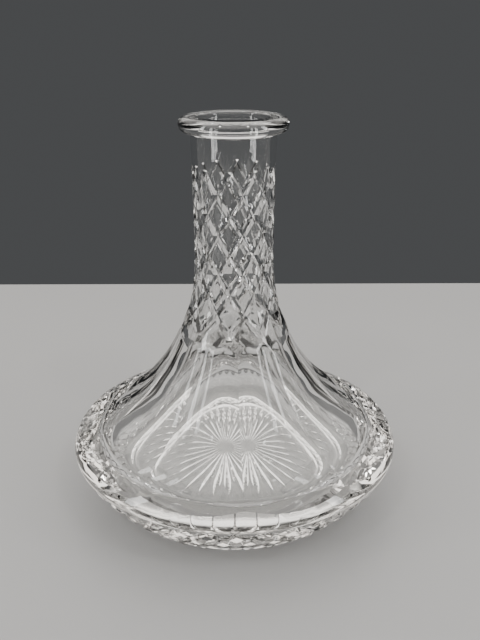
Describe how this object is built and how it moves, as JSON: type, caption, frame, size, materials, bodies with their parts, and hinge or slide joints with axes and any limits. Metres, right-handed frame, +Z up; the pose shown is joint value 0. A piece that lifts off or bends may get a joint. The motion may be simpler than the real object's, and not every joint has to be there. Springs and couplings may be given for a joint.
{
  "type": "cut glass vessel",
  "caption": "Clear cut glass vessel with a flat-topped lip, long diamond-cut neck, fluted flared skirt and wide star-cut base, to hold liquid behind the bar.",
  "frame": {"origin": "centre of the foot, on the surface that the vessel stands on", "axes": "+Z up along the vessel's axis, out of its mouth; -Y towards the front"},
  "size_m": [0.226, 0.226, 0.258],
  "materials": {
    "clear_crystal": "polished"
  },
  "bodies": {
    "root": {"lip_ring": "clear_crystal", "neck_collar": "clear_crystal", "lattice_neck": "clear_crystal", "fluted_throat": "clear_crystal", "fluted_skirt": "clear_crystal", "fluted_shoulder": "clear_crystal", "round_rim": "clear_crystal", "lattice_band": "clear_crystal", "star_base": "clear_crystal"}
  },
  "joints": []
}
